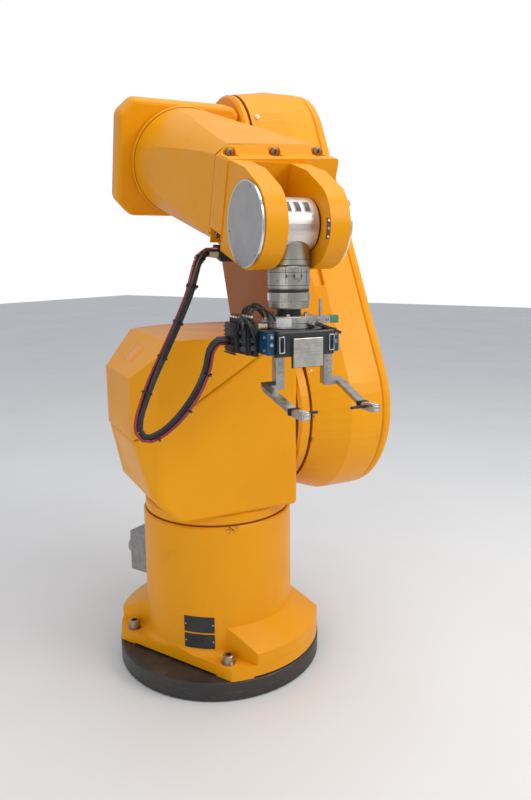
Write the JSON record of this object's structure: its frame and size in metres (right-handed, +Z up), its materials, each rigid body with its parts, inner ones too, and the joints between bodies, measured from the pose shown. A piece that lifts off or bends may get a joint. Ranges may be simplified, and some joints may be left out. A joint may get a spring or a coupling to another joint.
{
  "type": "industrial robot arm",
  "caption": "Floor-standing articulated industrial robot arm on a round pedestal plate, with a wrist fork, a tool changer and a parallel gripper fed by a hose loop.",
  "frame": {"origin": "centre of the pedestal plate's underside, on the axis of the base joint", "axes": "+Z up, +X towards the front of the foot, away from the connector box; at rest the arm points 30.9 degrees to the right of +X"},
  "size_m": [0.9269, 0.8962, 1.358],
  "materials": {
    "pedestal_plate": "black, satin",
    "base_casting": "satin yellow-orange paint, worn",
    "connector_box": "grey, satin",
    "power_socket": "machined, satin",
    "signal_socket": "machined, satin",
    "swivel_ring": "satin yellow-orange paint, worn",
    "shoulder_casting": "satin yellow-orange paint, worn",
    "shoulder_cover": "satin yellow-orange paint, worn",
    "shoulder_hub": "satin yellow-orange paint, worn",
    "lower_arm_casting": "satin yellow-orange paint, worn",
    "lower_arm_cover": "satin yellow-orange paint, worn",
    "elbow_housing": "satin yellow-orange paint, worn",
    "elbow_hub": "satin yellow-orange paint, worn",
    "elbow_rear_cover": "satin yellow-orange paint, worn",
    "forearm_bearing_ring": "satin yellow-orange paint, worn",
    "forearm_shell": "satin yellow-orange paint, worn",
    "wrist_fork": "satin yellow-orange paint, worn",
    "ear_disc_left": "machined, satin",
    "ear_disc_right": "machined, satin",
    "hose_clamp": "black, matt",
    "wrist_barrel": "machined, satin",
    "wrist_cuff": "machined, satin",
    "gripper_hose": "black, matt",
    "tool_flange": "machined, satin",
    "flange_neck": "black, satin",
    "changer_plate": "nickel plated, satin",
    "changer_bracket": "machined, satin",
    "terminal_block": "green, matt",
    "bracket_rod": "machined, satin",
    "gripper_body": "black, satin",
    "gripper_front_plate": "nickel plated, satin",
    "end_cap_left": "blue, satin",
    "end_cap_right": "blue, satin",
    "hose_manifold": "black, matt",
    "finger_left": "nickel plated, satin",
    "fingertip_left": "nickel plated, satin",
    "fingertip_pin_left": "black, satin",
    "finger_right": "nickel plated, satin",
    "fingertip_right": "nickel plated, satin",
    "fingertip_pin_right": "black, satin"
  },
  "bodies": {
    "base": {"pedestal_plate": "pedestal_plate", "base_casting": "base_casting", "connector_box": "connector_box", "power_socket": "power_socket", "signal_socket": "signal_socket"},
    "shoulder": {"swivel_ring": "swivel_ring", "shoulder_casting": "shoulder_casting", "shoulder_cover": "shoulder_cover", "shoulder_hub": "shoulder_hub"},
    "lower_arm": {"lower_arm_casting": "lower_arm_casting", "lower_arm_cover": "lower_arm_cover"},
    "elbow": {"elbow_housing": "elbow_housing", "elbow_hub": "elbow_hub", "elbow_rear_cover": "elbow_rear_cover", "forearm_bearing_ring": "forearm_bearing_ring"},
    "forearm": {"forearm_shell": "forearm_shell", "wrist_fork": "wrist_fork", "ear_disc_left": "ear_disc_left", "ear_disc_right": "ear_disc_right", "hose_clamp": "hose_clamp"},
    "wrist": {"wrist_barrel": "wrist_barrel", "wrist_cuff": "wrist_cuff", "gripper_hose": "gripper_hose"},
    "tool": {"tool_flange": "tool_flange", "flange_neck": "flange_neck", "changer_plate": "changer_plate", "changer_bracket": "changer_bracket", "terminal_block": "terminal_block", "bracket_rod": "bracket_rod", "gripper_body": "gripper_body", "gripper_front_plate": "gripper_front_plate", "end_cap_left": "end_cap_left", "end_cap_right": "end_cap_right", "hose_manifold": "hose_manifold"},
    "jaw_left": {"finger_left": "finger_left", "fingertip_left": "fingertip_left", "fingertip_pin_left": "fingertip_pin_left"},
    "jaw_right": {"finger_right": "finger_right", "fingertip_right": "fingertip_right", "fingertip_pin_right": "fingertip_pin_right"}
  },
  "joints": [
    {"name": "base_turn", "type": "hinge", "parent": "base", "child": "shoulder", "pos_m": [0, 0, 0.374], "axis": [0, 0, 1], "range_deg": [-129.1, 190.9]},
    {"name": "lower_arm_lean", "type": "hinge", "parent": "shoulder", "child": "lower_arm", "pos_m": [0, 0, 0.595], "axis": [0.5135, 0.8581, 0], "range_deg": [-73, 70]},
    {"name": "elbow_bend", "type": "hinge", "parent": "lower_arm", "child": "elbow", "pos_m": [-0.21613, 0.12935, 1.19421], "axis": [-0.5135, -0.8581, 0], "range_deg": [-14, 272.6]},
    {"name": "forearm_roll", "type": "hinge", "parent": "elbow", "child": "forearm", "pos_m": [-0.21613, 0.12935, 1.19421], "axis": [0.8192, -0.4903, -0.2974], "range_deg": [-270, 270]},
    {"name": "wrist_pitch", "type": "hinge", "parent": "forearm", "child": "wrist", "pos_m": [0.31638, -0.18935, 1.00092], "axis": [0.5135, 0.8581, 0], "range_deg": [-177.7, 47.3], "deforming": ["gripper_hose"]},
    {"name": "flange_turn", "type": "hinge", "parent": "wrist", "child": "tool", "pos_m": [0.31638, -0.18935, 1.00092], "axis": [0, 0, -1], "range_deg": [-120, 120], "deforming": ["gripper_hose"]},
    {"name": "jaw_left_slide", "type": "slide", "parent": "tool", "child": "jaw_left", "axis": [0.5135, 0.8581, 0], "range_m": [-0.004, 0.014]},
    {"name": "jaw_right_slide", "type": "slide", "parent": "tool", "child": "jaw_right", "axis": [-0.5135, -0.8581, 0], "range_m": [-0.004, 0.014]}
  ],
  "couplings": [
    {"joint": "jaw_right_slide", "follows": "jaw_left_slide", "ratio": 1}
  ]
}
